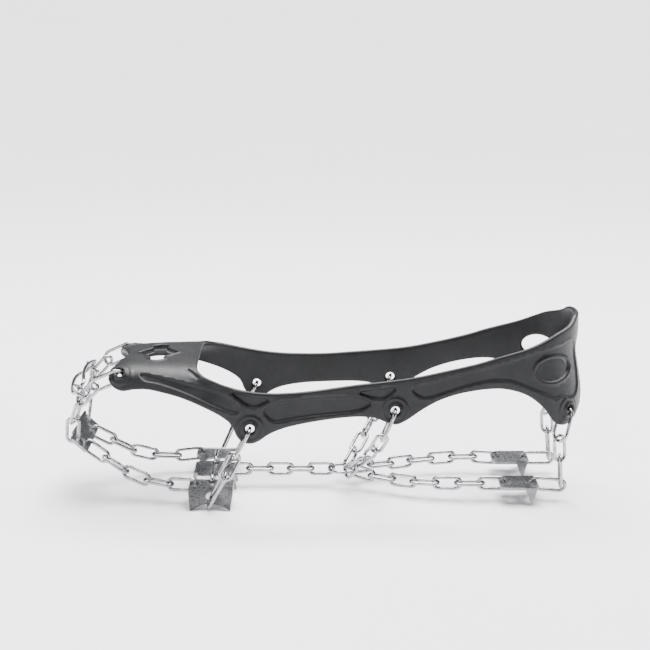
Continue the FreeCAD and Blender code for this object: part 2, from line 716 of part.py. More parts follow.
def ring(label, radius_alias, wire_alias, middle, axis):
    """A welded ring, its axis through middle."""
    torus = doc.addObject("Part::Torus", label)
    torus.Label = label
    torus.setExpression("Radius1", f"dimensions.{radius_alias}")
    torus.setExpression("Radius2", f"dimensions.{wire_alias} / 2")
    torus.Placement = Placement(middle, Rotation(Vector(0, 0, 1), axis))
    return torus


BAIL_TIE_UP = 3.9
BAIL_TIE_OUT = 6.9
BAIL_HALF_HEIGHT = 5.2
BAIL_CORNER = 3.6
# how far round the toe each half of the bail bows, in degrees
BAIL_BOW = 14.4


def bail_tie():
    """The frame where the bail's left side is tied: a point in the toe chain's second link, the way out
    to the bail's wire, and the way down the chain."""
    spans, flats = toe_run()
    down = direction(spans[1])
    out = flats[1].cross(down).normalize()
    if out.x > 0:
        out = out * -1
    return spans[1][1] - down * BAIL_TIE_UP, out, down


def bail_rings():
    point, out, down = bail_tie()
    middle = point + out * size("bail_ring_radius")
    rings = []
    for side, spot, axis in (("left", middle, down), ("right", mirrored(middle), mirrored(down))):
        rings.append(ring(f"bail_ring_{side}", "bail_ring_radius", "bail_ring_wire", spot, axis))
    return rings


def toe_bail():
    """One wire bent to a long rounded rectangle and bowed round the toe: two arcs joined by tight bends."""
    point, out, down = bail_tie()
    side = point + out * BAIL_TIE_OUT
    up = Vector(-down.x, 0, -down.z).normalize()
    ahead = Vector(-up.z, 0, up.x)
    bow = math.radians(BAIL_BOW)
    radius = (-side.y - BAIL_CORNER * math.cos(bow)) / math.sin(bow)
    middle = Vector(side.x, 0, side.z) - ahead * (radius * math.cos(bow) - BAIL_CORNER * math.sin(bow))
    along = Vector(0, -math.cos(bow), 0) - ahead * math.sin(bow)
    eighth = math.radians(45)

    def on_arc(share, level):
        angle = bow * share
        return middle + (ahead * math.cos(angle) - Vector(0, math.sin(angle), 0)) * radius + up * level

    def on_bend(angle, way):
        inset = BAIL_CORNER * (1 - math.cos(angle))
        return on_arc(1, way * BAIL_HALF_HEIGHT) + along * BAIL_CORNER * math.sin(angle) - up * way * inset

    edges = []
    for way in (1, -1):
        level = way * BAIL_HALF_HEIGHT
        edges.append(Part.Arc(on_arc(0, level), on_arc(0.5, level), on_arc(1, level)).toShape())
        edges.append(Part.Arc(*(on_bend(eighth * step, way) for step in (0, 1, 2))).toShape())
    edges.append(Part.makeLine(on_bend(2 * eighth, 1), on_bend(2 * eighth, -1)))
    path = Part.Wire(Part.__sortEdges__(edges))
    section = Part.Circle(on_arc(0, BAIL_HALF_HEIGHT), Vector(0, 1, 0), size("wire_diameter") / 2)
    half = path.makePipeShell([Part.Wire(section.toShape())], True, False)
    whole = half.fuse(half.mirror(Vector(0, 0, 0), Vector(0, 1, 0))).removeSplitter()
    return feature("toe_bail", whole)


# ---------------------------------------------------------------- the whole cleat

pieces = [feature("harness", harness_shape())]
pieces += toe_chain() + ball_chain() + arch_chain() + heel_chain()
pieces += [ball_plate("left"), ball_plate("right"), centre_plate(), heel_plate("left"), heel_plate("right")]
pieces += [front_plate()]
pieces += front_chain() + cross_links() + centre_chain() + sole_chain()
pieces += [ring("arch_ring", "arch_ring_radius", "wire_diameter", ARCH_RING_MIDDLE, Vector(0, 0, 1))]
pieces += [toe_bail()] + bail_rings()
doc.recompute()

for item in doc.Objects:
    if "Invalid" in item.State or "Error" in item.State:
        raise RuntimeError(f"{item.Label} failed to rebuild: {item.State}")
for piece in pieces:
    if piece.Shape.isNull() or not piece.Shape.isValid():
        raise RuntimeError(f"{piece.Label} has no valid shape")

os.makedirs("parts", exist_ok=True)
for piece in pieces:
    piece.Shape.exportStep(f"parts/{piece.Label}.step")
print(len(pieces), "pieces")
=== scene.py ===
"""Looks of a slip-on ice cleat: a moulded elastomer harness with chains and spiked plates of bright steel.

Metres throughout, except the form tables of the harness, which are in millimetres like the design they
repeat. +X runs from toe to heel, +Z is up, and the left side of the foot is at -Y.
"""
import math

import bpy
import numpy as np
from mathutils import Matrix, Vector
from mathutils.geometry import delaunay_2d_cdt


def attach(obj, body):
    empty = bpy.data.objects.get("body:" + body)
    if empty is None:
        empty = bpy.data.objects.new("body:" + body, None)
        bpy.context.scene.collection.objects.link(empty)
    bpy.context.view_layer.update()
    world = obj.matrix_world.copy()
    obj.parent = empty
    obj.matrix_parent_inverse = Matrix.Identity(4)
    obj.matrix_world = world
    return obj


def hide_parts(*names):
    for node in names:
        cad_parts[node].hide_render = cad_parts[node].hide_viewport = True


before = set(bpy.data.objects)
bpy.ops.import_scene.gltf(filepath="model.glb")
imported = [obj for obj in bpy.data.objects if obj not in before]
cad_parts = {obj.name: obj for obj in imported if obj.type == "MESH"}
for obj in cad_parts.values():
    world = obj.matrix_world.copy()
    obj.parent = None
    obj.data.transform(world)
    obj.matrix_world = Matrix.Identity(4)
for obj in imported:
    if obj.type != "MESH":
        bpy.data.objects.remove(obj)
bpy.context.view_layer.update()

MM = 0.001

# ---------------------------------------------------------------- form of the worn harness, in millimetres

WALL = 3.3
BASE_HEIGHT = 38.0
ROUNDNESS = [(-150, 5.2), (-105, 5.2), (-60, 4.5), (200, 4.5)]
PLAN = [
    (-150, 30), (-140, 36), (-126, 42), (-110, 47), (-90, 51.5), (-70, 54.4), (-45, 55.2), (-20, 51.5),
    (10, 45.5), (42, 42.5), (75, 41), (105, 40.8), (128, 38.5), (144, 33), (155, 23), (160.5, 11), (162, 0),
]
CROWN = [
    (-150, 74), (-140, 82), (-126, 87.2), (-107, 88.4), (-90, 88.6), (-77, 89.6), (-60, 100), (-40, 122),
    (-15, 160), (20, 200), (170, 200),
]
HEEL_LEAN = [(38, -1.5), (48, -1), (58, -0.3), (66, 0), (80, -2), (93, -4), (103, -3), (116, -3), (200, -3)]
LEAN_STARTS, LEAN_FULL = 100, 160
EYELETS = {"toe": (-125.6, 83.6), "ball": (-45.4, 54.2), "arch": (43.0, 62.0), "heel": (151.1, 59.0)}
EYELET_RADIUS = 2.8

# outline seen from the side: x, z
TOP_EDGE = [
    (166, 116.4), (160, 116.3), (156.5, 115.3), (154.5, 113), (151.5, 111), (143, 107.9), (135, 104.2),
    (125.8, 100.5), (107, 95.2), (94, 91.2), (70, 85.5), (53, 82.2), (19, 78.5), (-7, 76), (-30, 75.6),
    (-45.6, 77.2), (-59.4, 80.4), (-68, 83.2), (-75, 85.6), (-79, 88.5), (-79.6, 94),
]
LOW_EDGE = [
    (-134.6, 84), (-133.4, 79.5), (-130, 75.6), (-124.6, 73.9), (-118, 75.4), (-109, 76.2), (-100, 75),
    (-88, 72.3), (-75.3, 67.6), (-62.5, 61.2), (-56.5, 56), (-54, 50), (-50.5, 45.8), (-45.2, 44.4),
    (-40.2, 45.9), (-34.3, 49.8), (-26.6, 52.9), (-15, 55.4), (6, 57.7), (22, 58.3), (31, 57.2), (38, 54.2),
    (44, 52.8), (50, 55.4), (57.7, 60.7), (62, 63.5), (70.3, 67.9), (80, 71.3), (89, 73.4), (100, 74.9),
    (110, 74.8), (122.7, 71.1), (130.6, 65.8), (136.6, 59.8), (141, 53.5), (145.5, 49.6), (151, 48.8),
    (156, 51.5), (160, 56.5), (166, 59.5),
]
HEEL_WINDOW = {"centre": (140.3, 85.3), "half_length": 11.2, "half_height": 7.1}
# outlines seen from above: x, y on the left half
FRONT_EDGE = [(-124.5, 0), (-127.9, -13), (-131.7, -25), (-134.8, -36)]
TOE_WINDOW = {"centre": -105.0, "half_length": 12.0, "lobe_radius": 4.7, "lobe_offset": 14.8}

# short slits at the rear corners of the toe bridge, seen from above
SLITS = [((-84.1, -36.6), (-77.7, -44.9))]
# heights of the grooves across the heel's spine, and how far they reach to each side
SPINE_GROOVES = [84, 87.5, 91, 94.5, 98, 101.5]
SPINE_HALF = 6.5

# sunk fields of the side bands: depth and outline, seen from the side
FIELDS = {
    "toe_channel": (1.1, [
        (-112.9, 84.0), (-96.2, 82.4), (-75.4, 78.6), (-60.5, 74.6), (-55.2, 70.8), (-51.6, 66.6),
        (-52.6, 64.2), (-56.6, 64.4), (-66.8, 68.0), (-83.8, 75.0), (-101.1, 79.9), (-110.5, 81.2),
    ]),
    "ball_triangle": (1.4, [(-56.7, 76.9), (-45.0, 74.2), (-33.3, 72.0), (-42.6, 67.5), (-46.4, 68.4)]),
    "long_leaf": (1.4, [
        (-37.2, 64.8), (-30.3, 69.3), (-14.9, 71.2), (8.3, 71.4), (21.5, 70.4), (28.2, 66.9),
        (21.5, 62.6), (-7.3, 60.2), (-22.0, 58.8), (-30.4, 57.9),
    ]),
    "arch_triangle": (1.4, [(20.6, 73.8), (32.0, 75.4), (43.6, 76.4), (35.2, 69.4)]),
    "rear_panel": (0.75, [
        (53.0, 75.2), (70.1, 80.3), (88.0, 85.2), (107.2, 90.2), (127.8, 96.2), (145.7, 100.2),
        (152.8, 101.4), (155.4, 94.0), (157.0, 82.0), (157.6, 72.0), (155.5, 66.6), (151.2, 66.4),
        (146.5, 68.4), (142.1, 67.4), (136.2, 70.4), (126.5, 74.8), (115.0, 79.6), (103.7, 80.6),
        (94.5, 79.2), (80.0, 75.2), (67.0, 70.8), (60.0, 69.8),
    ]),
}


def between(points, at):
    """A smooth curve through (place, value) points, read at many places."""
    places, values = np.array(points, float).T
    at = np.clip(at, places[0], places[-1])
    i = np.clip(np.searchsorted(places, at, side="left") - 1, 0, len(places) - 2)
    slopes = np.diff(values) / np.diff(places)
    padded = np.r_[slopes[0], slopes, slopes[-1]]
    before, after = (padded[i] + padded[i + 1]) / 2, (padded[i + 1] + padded[i + 2]) / 2
    gap = places[i + 1] - places[i]
    k = (at - places[i]) / gap
    return (
        (2 * k**3 - 3 * k**2 + 1) * values[i] + (k**3 - 2 * k**2 + k) * gap * before
        + (3 * k**2 - 2 * k**3) * values[i + 1] + (k**3 - k**2) * gap * after
    )


def plan_tables():
    """The plan's x and half width against the distance along it, run on past the heel's middle."""
    outline = np.array(PLAN + [(PLAN[-2][0], -PLAN[-2][1])], float)
    lengths = np.r_[0, np.cumsum(np.hypot(*np.diff(outline, axis=0).T))]
    return list(zip(lengths, outline[:, 0])), list(zip(lengths, outline[:, 1])), lengths[-2]


ALONG, ACROSS, PLAN_LENGTH = plan_tables()


def form(run, angle):
    """Points of the outer face, left half: run is along the plan, angle from the base to the crown."""
    x, half_width = between(ALONG, run), between(ACROSS, run)
    height = between(CROWN, x) - BASE_HEIGHT
    power = between(ROUNDNESS, x)
    reach = (np.abs(np.cos(angle)) ** power + np.abs(np.sin(angle)) ** power) ** (-1 / power)
    z = BASE_HEIGHT + height * reach * np.sin(angle)
    share = np.clip((x - LEAN_STARTS) / (LEAN_FULL - LEAN_STARTS), 0, 1)
    lean = share**2 * (3 - 2 * share) * between(HEEL_LEAN, z)
    return np.stack([x + lean, -half_width * reach * np.cos(angle), z], axis=-1)


# the face laid out flat: run along the plan, rise along the section up from the base
RUNS = np.linspace(0, PLAN_LENGTH, 460)
ANGLES = np.linspace(0, math.pi / 2, 260)
GRID = form(RUNS[:, None], ANGLES[None, :])
RISE = np.concatenate(
    [np.zeros((len(RUNS), 1)), np.cumsum(np.linalg.norm(np.diff(GRID, axis=1), axis=2), axis=1)], axis=1
)


def from_side(points):
    """Where points of the side view lie on the flat layout."""
    flat = []
    for x, z in points:
        above = GRID[:, :, 2] >= z
        j = np.where(above.any(axis=1), above.argmax(axis=1), len(ANGLES) - 1).clip(1)
        rows = np.arange(len(RUNS))
        low, high = GRID[rows, j - 1], GRID[rows, j]
        part = np.clip((z - low[:, 2]) / (high[:, 2] - low[:, 2]), 0, 1)
        xs = low[:, 0] + (high[:, 0] - low[:, 0]) * part
        rises = RISE[rows, j - 1] + (RISE[rows, j] - RISE[rows, j - 1]) * part
        flat.append((np.interp(x, xs, RUNS), np.interp(x, xs, rises)))
    return np.array(flat)


def from_above(points):
    """Where points of the top view lie on the flat layout."""
    flat = []
    for x, y in points:
        run = np.interp(x, between(ALONG, RUNS), RUNS)
        i = int(np.argmin(np.abs(RUNS - run)))
        flat.append((run, np.interp(y, GRID[i, :, 1], RISE[i])))
    return np.array(flat)


def to_space(flat):
    """Points and outward directions of the face for points of the flat layout."""
    step = RUNS[1]
    i = np.clip((flat[:, 0] / step).astype(int), 0, len(RUNS) - 2)
    part = flat[:, 0] / step - i
    lower = np.array([np.interp(rise, RISE[k], ANGLES) for rise, k in zip(flat[:, 1], i)])
    upper = np.array([np.interp(rise, RISE[k + 1], ANGLES) for rise, k in zip(flat[:, 1], i)])
    angle = lower + (upper - lower) * part
    run = flat[:, 0]
    along = form(run + 0.3, angle) - form(run - 0.3, angle)
    up = form(run, angle + 0.004) - form(run, angle - 0.004)
    out = np.cross(along, up)
    out /= np.linalg.norm(out, axis=1, keepdims=True)
    return form(run, angle), out


# ---------------------------------------------------------------- outlines on the flat layout


def smooth(points, step=0.5, closed=False):
    """A smooth line through given points, sampled about every step."""
    points = np.array(points, float)
    if closed:
        points = np.vstack([points[-1:], points, points[:2]])
    else:
        points = np.vstack([2 * points[0] - points[1], points, 2 * points[-1] - points[-2]])
    line = []
    for a, b, c, d in zip(points, points[1:], points[2:], points[3:]):
        ab, bc, cd = (max(np.linalg.norm(q - p), 1e-6) ** 0.5 for p, q in ((a, b), (b, c), (c, d)))
        leave = (b - a) / ab - (c - a) / (ab + bc) + (c - b) / bc
        reach = (c - b) / bc - (d - b) / (bc + cd) + (d - c) / cd
        t = np.linspace(0, 1, max(2, int(np.linalg.norm(c - b) / step) + 1))[:-1, None]
        line.append(
            (2 * t**3 - 3 * t**2 + 1) * b + (t**3 - 2 * t**2 + t) * bc * leave
            + (3 * t**2 - 2 * t**3) * c + (t**3 - t**2) * bc * reach
        )
    line = np.vstack(line)
    return line if closed else np.vstack([line, points[-2]])


def even(line, step, closed=False):
    """The line with its points evenly spaced."""
    if closed:
        line = np.vstack([line, line[:1]])
    lengths = np.r_[0, np.cumsum(np.linalg.norm(np.diff(line, axis=0), axis=1))]
    count = max(3, int(round(lengths[-1] / step)))
    at = np.linspace(0, lengths[-1], count + 1)
    line = np.stack([np.interp(at, lengths, line[:, k]) for k in (0, 1)], axis=1)
    return line[:-1] if closed else line


def soften(line, times, closed=False):
    """Rounds the corners of an evenly spaced line; open ends stay."""
    for _ in range(times):
        if closed:
            line = (np.roll(line, 1, axis=0) + 2 * line + np.roll(line, -1, axis=0)) / 4
        else:
            line = np.vstack([line[:1], (line[:-2] + 2 * line[1:-1] + line[2:]) / 4, line[-1:]])
    return line


def crossing(one, other):
    """The first place where two lines cross, as an index on each."""
    for i in range(len(one) - 1):
        a, b = one[i], one[i + 1]
        c, d = other[:-1], other[1:]
        side = np.cross(b - a, c - a) * np.cross(b - a, d - a) < 0
        side &= np.cross(d - c, a - c) * np.cross(d - c, b - c) < 0
        if side.any():
            return i, int(np.argmax(side))
    raise ValueError("the lines don't cross")


def crown_line(start, end, step):
    """The seam over the middle of the foot, between two runs."""
    runs = np.linspace(start, end, max(2, int(abs(end - start) / step)) + 1)
    return np.stack([runs, np.interp(runs, RUNS, RISE[:, -1])], axis=1)


def on_crown(line):
    """The line with its last point moved onto the crown seam."""
    line = line.copy()
    line[-1, 1] = np.interp(line[-1, 0], RUNS, RISE[:, -1])
    return line


EDGE_STEP = 0.8
HAND_STEP = 0.4
END_GAP = 0.2


def free_edges():
    """The edges on the flat layout: the low one from crown to heel, the top one, the toe window's, and the
    closed ones."""
    front = from_above(smooth(FRONT_EDGE, HAND_STEP))
    low = from_side(smooth(LOW_EDGE, HAND_STEP))
    i, j = crossing(front, low)
    low = np.vstack([front[: i + 1], low[j + 1 :]])
    low = low[low[:, 0] < PLAN_LENGTH - END_GAP]
    low = np.vstack([low, (PLAN_LENGTH, low[-1, 1])])
    low = on_crown(soften(even(low, EDGE_STEP), 3)[::-1])[::-1]
    top = from_side(smooth(TOP_EDGE, HAND_STEP / 2))
    top = top[top[:, 0] < PLAN_LENGTH - END_GAP]
    top = np.vstack([(PLAN_LENGTH, top[0, 1]), top])
    seam = np.interp(top[:, 0], RUNS, RISE[:, -1])
    top = top[: int(np.argmax(top[:, 1] > seam - 0.3)) + 1]
    top = on_crown(soften(even(top, EDGE_STEP), 3))
    return low, top, toe_window(), closed_edges()


def toe_window():
    """The left half of the window in the toe bridge: a diamond that ends in a round lobe."""
    middle, half, radius = TOE_WINDOW["centre"], TOE_WINDOW["half_length"], TOE_WINDOW["lobe_radius"]
    lobe = circle((middle, -TOE_WINDOW["lobe_offset"]), radius, turns=np.radians(np.arange(138, 403, 8)))
    corners = even(np.vstack([(middle - half, 0), lobe, (middle + half, 0)]), 0.5)
    toe = soften(even(from_above(corners), EDGE_STEP), 2)
    return on_crown(on_crown(toe)[::-1])


def closed_edges():
    """The edges of the eyelets and of the heel window."""
    closed = {name: circle(from_side([centre])[0], EYELET_RADIUS) for name, centre in EYELETS.items()}
    reach = HEEL_WINDOW["half_length"], HEEL_WINDOW["half_height"]
    closed["heel_window"] = even(from_side(circle(HEEL_WINDOW["centre"], reach, 48)), EDGE_STEP, True)
    return closed


def circle(centre, radius, count=36, turns=None):
    """Points around a centre; radius is one number, or two for an oval."""
    if turns is None:
        turns = np.linspace(0, 2 * math.pi, count + 1)[:-1]
    return np.array(centre) + np.array(radius) * np.stack([np.cos(turns), np.sin(turns)], axis=1)


def distance(points, line, closed=False):
    """How far each point is from a line."""
    ends = np.roll(line, -1, axis=0) if closed else line[1:]
    starts = line if closed else line[:-1]
    way = ends - starts
    length = np.maximum((way**2).sum(axis=1), 1e-12)
    best = np.full(len(points), np.inf)
    for start, w, size in zip(starts, way, length):
        t = np.clip(((points - start) @ w) / size, 0, 1)
        gap = points - start - t[:, None] * w
        best = np.minimum(best, (gap**2).sum(axis=1))
    return np.sqrt(best)


def inside(points, loop):
    """Which points lie inside a closed line."""
    x, y = points.T
    held = np.zeros(len(points), bool)
    for (x0, y0), (x1, y1) in zip(loop, np.roll(loop, -1, axis=0)):
        if y0 == y1:
            continue
        spans = (y0 > y) != (y1 > y)
        held ^= spans & (x < (x1 - x0) * (y - y0) / (y1 - y0) + x0)
    return held


def aside(line, gap, closed=False):
    """The line moved sideways by gap, to its left; open ends run on a little, across the seam."""
    if closed:
        way = np.roll(line, -1, axis=0) - np.roll(line, 1, axis=0)
    else:
        way = np.gradient(line, axis=0)
    way /= np.maximum(np.linalg.norm(way, axis=1, keepdims=True), 1e-9)
    moved = line + gap * np.stack([-way[:, 1], way[:, 0]], axis=1)
    if closed:
        return moved
    past = 1.5 * abs(gap) + 0.5
    return np.vstack([moved[0] - past * way[0], moved, moved[-1] + past * way[-1]])


def ease(x):
    """0 below 0, 1 above 1, smooth between."""
    x = np.clip(x, 0, 1)
    return x * x * (3 - 2 * x)


ROUNDING = 1.3
ROUNDING_GAPS = (0.1, 0.35, 0.75, 1.3)
RIM_HEIGHT = 0.45
FIELD_GAPS = (-1.6, -0.9, -0.35, 0.1, 0.55)
# heights of the raised ring round an eyelet, of the groove in it and of the lip at the hole, with their radii
BOSS_HEIGHT, BOSS_RADIUS = 0.55, 8.6
BOSS_GROOVE, GROOVE_RADIUS = 0.25, 6.6
LIP_HEIGHT, LIP_RADIUS = 1.0, 4.9
EYELET_RINGS = (4.5, 4.95, 5.9, 6.6, 7.3, 7.8, 8.2, 8.65)
# heights and widths of the lips of the windows
HEEL_LIP_HEIGHT, HEEL_LIP_WIDTH, HEEL_LIP_GAPS = 0.8, 2.6, (1.8, 2.2, 2.65)
TOE_LIP_HEIGHT, TOE_LIP_WIDTH, TOE_LIP_GAPS = 0.5, 2.2, (1.55, 1.85, 2.25)
# depths and half widths of the slits and of the spine's grooves
SLIT_DEPTH, SLIT_WIDTH, SLIT_GAPS = 0.7, 1.0, (-1.0, -0.7, -0.35, 0.35, 0.7, 1.0)
SPINE_DEPTH, SPINE_WIDTH, SPINE_GAPS = 0.4, 1.1, (-1.1, -0.6, 0, 0.6, 1.1)


class Layout:
    """Everything of the harness that is worked out on the flat layout."""

    def __init__(self):
        self.low, self.top, self.toe, self.closed = free_edges()
        self.outer = np.vstack([
            self.low, np.linspace(self.low[-1], self.top[0], 40)[1:-1], self.top,
            crown_line(self.top[-1, 0], self.toe[0, 0], 1.5)[1:-1], self.toe,
            crown_line(self.toe[-1, 0], self.low[0, 0], 1.5)[1:-1],
        ])
        self.fields = {
            name: (depth, soften(even(smooth(from_side(points), 0.5, True), 0.9, True), 2, True))
            for name, (depth, points) in FIELDS.items()
        }
        self.centres = {name: from_side([place])[0] for name, place in EYELETS.items()}
        self.slits = [even(from_above(ends), EDGE_STEP) for ends in SLITS]
        rises = from_side([(PLAN[-1][0], height) for height in SPINE_GROOVES])[:, 1]
        self.grooves = [
            even(np.array([(PLAN_LENGTH - SPINE_HALF, rise), (PLAN_LENGTH + 1, rise)]), EDGE_STEP)
            for rise in rises
        ]

    def edge_distance(self, points):
        gaps = [distance(points, line) for line in (self.low, self.top, self.toe)]
        gaps += [distance(points, loop, True) for loop in self.closed.values()]
        return np.min(gaps, axis=0)

    def rounding(self, points):
        """How far a face falls back near an edge, so that the edge is round."""
        near = np.clip(ROUNDING - self.edge_distance(points), 0, ROUNDING)
        return ROUNDING - np.sqrt(ROUNDING**2 - near**2)

    def relief(self, points):
        """Height of the outer face over its plain form: sunk fields, rims, bosses and lips."""
        height = np.zeros(len(points))
        for depth, loop in self.fields.values():
            gap = distance(points, loop, True)
            within = inside(points, loop)
            height -= depth * ease((np.where(within, gap, -gap) + 0.35) / 0.9)
            height += RIM_HEIGHT * ease(1 - np.abs(np.where(within, -gap, gap) - 0.9) / 0.8)
        for centre in self.centres.values():
            far = np.linalg.norm(points - centre, axis=1)
            height += BOSS_HEIGHT * ease((BOSS_RADIUS - far) / 0.8)
            height -= BOSS_GROOVE * ease(1 - np.abs(far - GROOVE_RADIUS) / 0.7)
            height += LIP_HEIGHT * ease((LIP_RADIUS - far) / 0.9)
        heel = distance(points, self.closed["heel_window"], True)
        height += HEEL_LIP_HEIGHT * ease((HEEL_LIP_WIDTH - heel) / 0.8)
        height += TOE_LIP_HEIGHT * ease((TOE_LIP_WIDTH - distance(points, self.toe)) / 0.7)
        for slit in self.slits:
            height -= SLIT_DEPTH * ease((SLIT_WIDTH - distance(points, slit)) / 0.6)
        for groove in self.grooves:
            height -= SPINE_DEPTH * ease((SPINE_WIDTH - distance(points, groove)) / 0.9)
        return height

    def lines(self):
        """The lines that the triangles keep to: edges, steps of their rounding, and steps of the relief."""
        lines = [(self.outer, True)]
        lines += [(loop, True) for loop in self.closed.values()]
        for gap in ROUNDING_GAPS:
            lines += [(aside(line, gap), False) for line in (self.low, self.top, self.toe)]
            lines += [(aside(loop, -gap, True), True) for loop in self.closed.values()]
        for _, loop in self.fields.values():
            lines += [(aside(loop, gap, True), True) for gap in FIELD_GAPS]
        for centre in self.centres.values():
            lines += [(circle(centre, radius, 48), True) for radius in EYELET_RINGS]
        lines += [(aside(self.closed["heel_window"], -gap, True), True) for gap in HEEL_LIP_GAPS]
        lines += [(aside(self.toe, gap), False) for gap in TOE_LIP_GAPS]
        for line in self.slits:
            lines += [(aside(line, gap), False) for gap in SLIT_GAPS]
        for line in self.grooves:
            lines += [(aside(line, gap), False) for gap in SPINE_GAPS]
        return lines

    def within(self, points):
        held = inside(points, self.outer)
        for loop in self.closed.values():
            held &= ~inside(points, loop)
        return held

    def triangles(self, spacing=1.7):
        """Points on the flat layout and triangles over the whole left half of the face."""
        lines = self.lines()
        low, high = self.outer.min(axis=0), self.outer.max(axis=0)
        columns, rows = np.arange(low[0], high[0], spacing), np.arange(low[1], high[1], spacing * 0.866)
        grid = np.array([(x + (j % 2) * spacing / 2, y) for j, y in enumerate(rows) for x in columns])
        grid = grid[self.within(grid)]
        for line, closed in lines:
            grid = grid[distance(grid, line, closed) > 0.6]
        points, edges = [], []
        for line, closed in lines:
            first = len(points)
            points += [Vector(p) for p in line]
            edges += [(first + k, first + k + 1) for k in range(len(line) - 1)]
            if closed:
                edges.append((first + len(line) - 1, first))
        points += [Vector(p) for p in grid]
        flat, _, faces, *_ = delaunay_2d_cdt(points, edges, [], 0, 1e-4)
        flat = np.array([tuple(p) for p in flat])
        faces = np.array([tuple(face) for face in faces])
        faces = faces[self.within(flat[faces].mean(axis=1))]
        used, faces = np.unique(faces, return_inverse=True)
        return flat[used], faces.reshape(-1, 3)


def harness_mesh():
    """Outer face, inner face and rounded edges of the whole harness, in metres."""
    layout = Layout()
    flat, faces = layout.triangles()
    place, out = to_space(flat)
    seam_rise = np.interp(flat[:, 0], RUNS, RISE[:, -1])
    on_seam = (np.abs(flat[:, 1] - seam_rise) < 0.02) | (flat[:, 0] > PLAN_LENGTH - 1e-3)
    place[on_seam, 1] = out[on_seam, 1] = 0
    fall = layout.rounding(flat)
    outer = place + out * (layout.relief(flat) - fall)[:, None]
    inner = place - out * (WALL - fall)[:, None]
    count = len(flat)
    corners = np.vstack([outer, inner])
    steps = np.vstack([faces[:, (0, 1)], faces[:, (1, 2)], faces[:, (2, 0)]])
    both_ways = {tuple(step) for step in steps}
    rim = [(a, b) for a, b in both_ways if (b, a) not in both_ways and not (on_seam[a] and on_seam[b])]
    left = [tuple(face) for face in faces] + [tuple(face[::-1] + count) for face in faces]
    left += [(b, a, a + count, b + count) for a, b in rim]
    seam = np.r_[on_seam, on_seam]
    twin = np.where(seam, np.arange(2 * count), -1)
    twin[~seam] = 2 * count + np.arange((~seam).sum())
    right = [tuple(int(twin[v]) for v in face[::-1]) for face in left]
    whole = np.vstack([corners, corners[~seam] * (1, -1, 1)]) * MM
    mesh = bpy.data.meshes.new("harness_cover")
    mesh.from_pydata(whole.tolist(), [], [tuple(map(int, face)) for face in left] + right)
    mesh.validate()
    mesh.polygons.foreach_set("use_smooth", [True] * len(mesh.polygons))
    return mesh


# ---------------------------------------------------------------- wire parts


def islands(cad):
    """The separate solids of a CAD node, each as an array of its corners."""
    mesh = cad.data
    places = np.array([v.co[:] for v in mesh.vertices])
    _, merged = np.unique(np.round(places, 6), axis=0, return_inverse=True)
    merged = merged.ravel()
    owner = list(range(merged.max() + 1))

    def root(k):
        while owner[k] != k:
            owner[k] = owner[owner[k]]
            k = owner[k]
        return k

    for face in mesh.polygons:
        first = root(merged[face.vertices[0]])
        for v in face.vertices[1:]:
            owner[root(merged[v])] = first
    group = np.array([root(k) for k in merged])
    return [places[group == g] for g in np.unique(group)]


def spans(corners):
    """Middle, directions and sizes of a flat wire part: long way, wide way and through it."""
    middle = (corners.max(axis=0) + corners.min(axis=0)) / 2
    _, _, ways = np.linalg.svd(corners - corners.mean(axis=0), full_matrices=False)
    if np.linalg.det(ways) < 0:
        ways[2] = -ways[2]
    along = (corners - middle) @ ways.T
    middle = middle + ((along.max(axis=0) + along.min(axis=0)) / 2) @ ways
    along = (corners - middle) @ ways.T
    return middle, ways, along.max(axis=0) - along.min(axis=0)


def tube(path, thickness, sides=20):
    """Corners and faces of a round wire along a closed path; thickness is given for each point."""
    ahead = np.roll(path, -1, axis=0) - np.roll(path, 1, axis=0)
    ahead /= np.linalg.norm(ahead, axis=1, keepdims=True)
    through = np.cross(path[0] - path.mean(axis=0), ahead[0])
    through = np.tile(through / np.linalg.norm(through), (len(path), 1))
    across = np.cross(ahead, through)
    turns = np.linspace(0, 2 * math.pi, sides + 1)[:-1]
    ring = np.cos(turns)[:, None] * across[:, None, :] + np.sin(turns)[:, None] * through[:, None, :]
    corners = (path[:, None, :] + ring * thickness[:, None, None]).reshape(-1, 3)
    count = len(path)
    faces = []
    for i in range(count):
        here, after = i * sides, (i + 1) % count * sides
        for j in range(sides):
            k = (j + 1) % sides
            faces.append((here + j, here + k, after + k, after + j))
    return corners, faces


def link_path(length, width, wire):
    """A stadium in its own flat frame, evenly stepped, and how far each point is from the weld."""
    half, straight = (width - wire) / 2, length - width
    turns = np.linspace(-math.pi / 2, math.pi / 2, 17)
    right = [(straight / 2 + half * math.cos(t), half * math.sin(t)) for t in turns]
    left = [(-x, -y) for x, y in right]
    side = np.linspace(1, -1, 31)[1:-1]
    top = [(straight / 2 * s, half) for s in side]
    base = [(-straight / 2 * s, -half) for s in side]
    path = np.array([(x, y, 0) for x, y in right + top + left + base])
    from_weld = np.hypot(path[:, 0], path[:, 1] - half)
    return path, from_weld


WELD_BULGE = 0.00013
WELD_HALF = 0.0009
# the nick in the middle of a link's weld, as shares of its bulge and of its half width
NICK_DEPTH, NICK_WIDTH = 1.3, 0.25


def link_piece(name, solids):
    """Welded links that stand for a CAD node: the wire swells a little and is nicked at its weld."""
    corners, faces = [], []
    for solid in solids:
        middle, ways, (length, width, wire) = spans(solid)
        path, from_weld = link_path(length, width, wire)
        place = from_weld / WELD_HALF
        swell = np.exp(-(place**2)) - NICK_DEPTH * np.exp(-((place / NICK_WIDTH) ** 2))
        more, rounds = tube(path, wire / 2 + WELD_BULGE * swell)
        faces += [tuple(v + sum(map(len, corners)) for v in face) for face in rounds]
        corners.append(more @ ways + middle)
    return new_piece(name, np.vstack(corners), faces)


